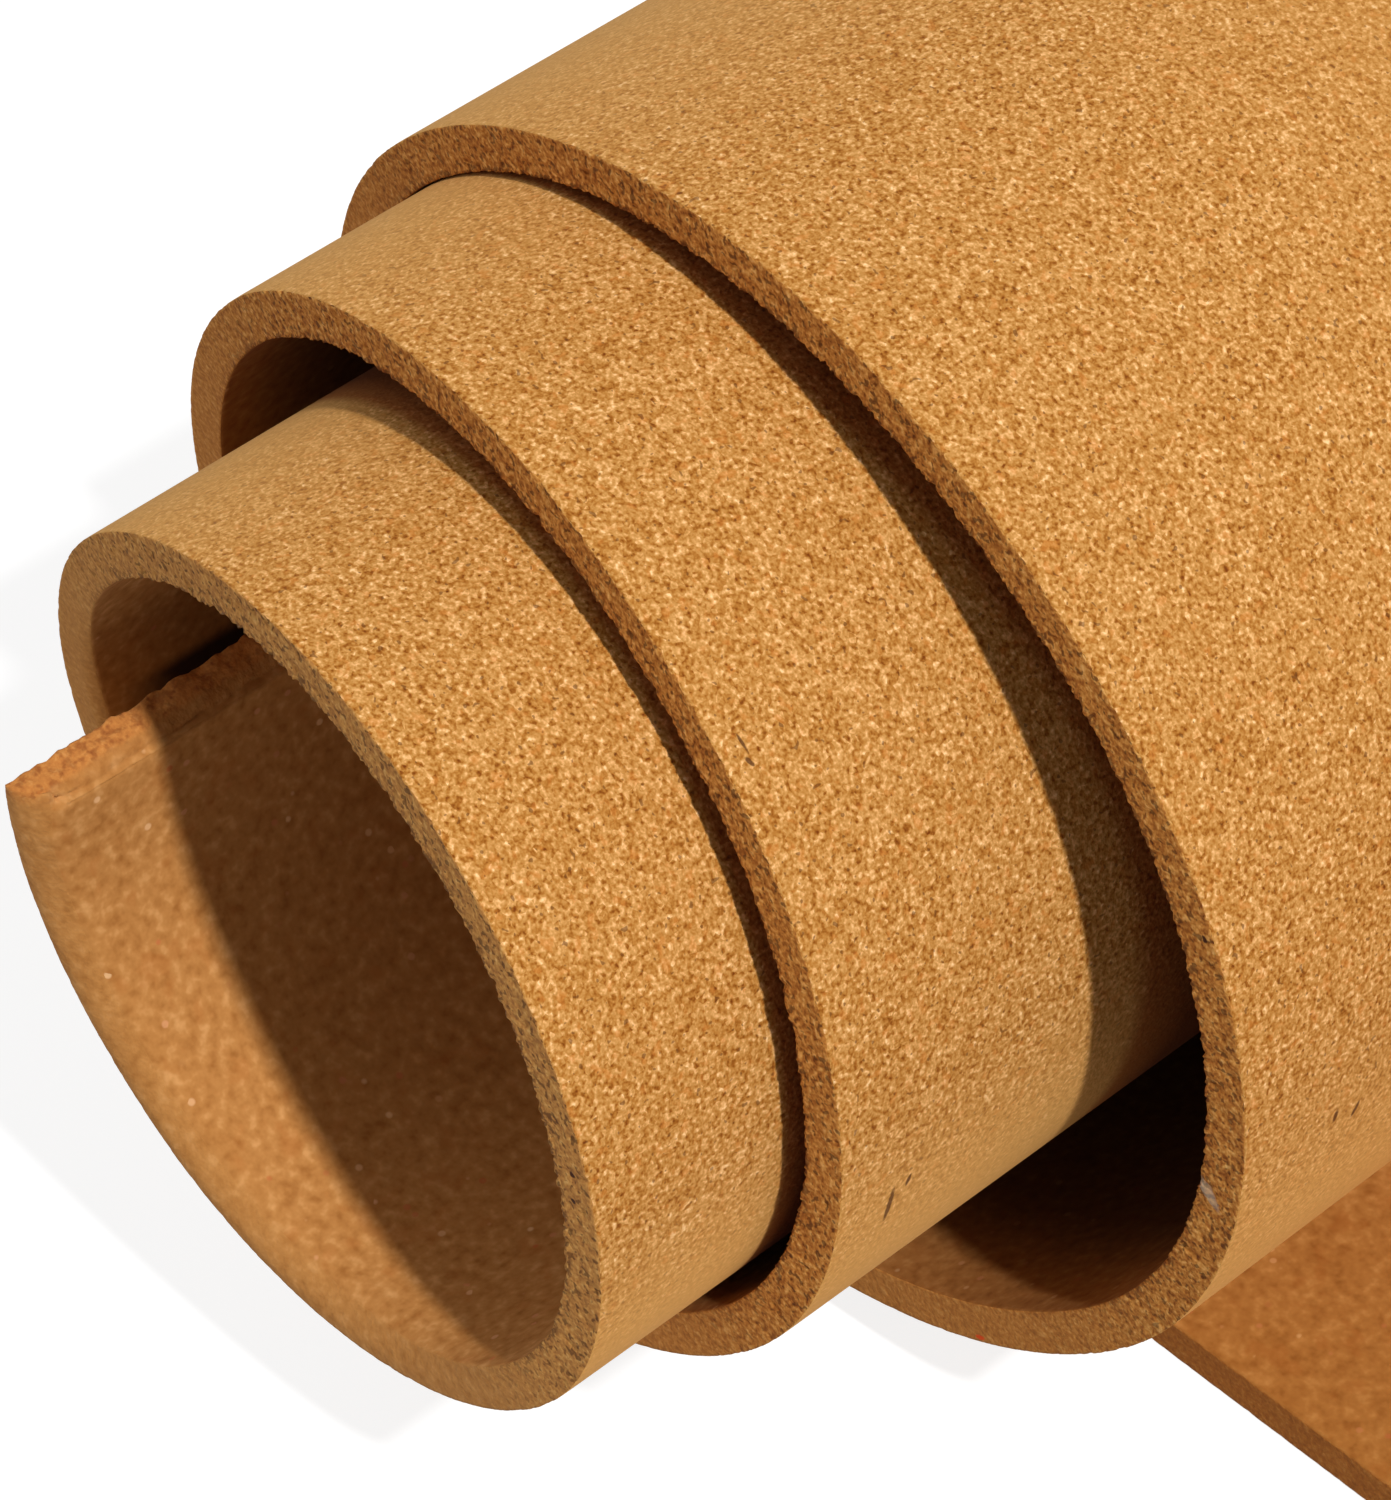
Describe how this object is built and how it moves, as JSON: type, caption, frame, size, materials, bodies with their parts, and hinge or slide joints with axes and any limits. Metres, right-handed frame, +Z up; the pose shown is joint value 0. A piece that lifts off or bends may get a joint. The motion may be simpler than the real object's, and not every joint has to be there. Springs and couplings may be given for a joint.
{
  "type": "cork underlayment roll",
  "caption": "Loosely rolled sheet of granulated cork underlayment, its turns stepped back along the roll and its outer end lying out flat.",
  "frame": {"origin": "on the floor, under the middle of the whole piece's box", "axes": "+Z up from the floor, +Y along the roll's axis toward the outer turns' stepped-back side, +X along the flat outer end, away from the roll"},
  "size_m": [0.7646, 1.1004, 0.1586],
  "materials": {
    "cork": "matte compressed cork granules, tan with orange-brown, pale and few dark specks"
  },
  "bodies": {
    "root": {"cork_sheet": "cork"}
  },
  "joints": []
}
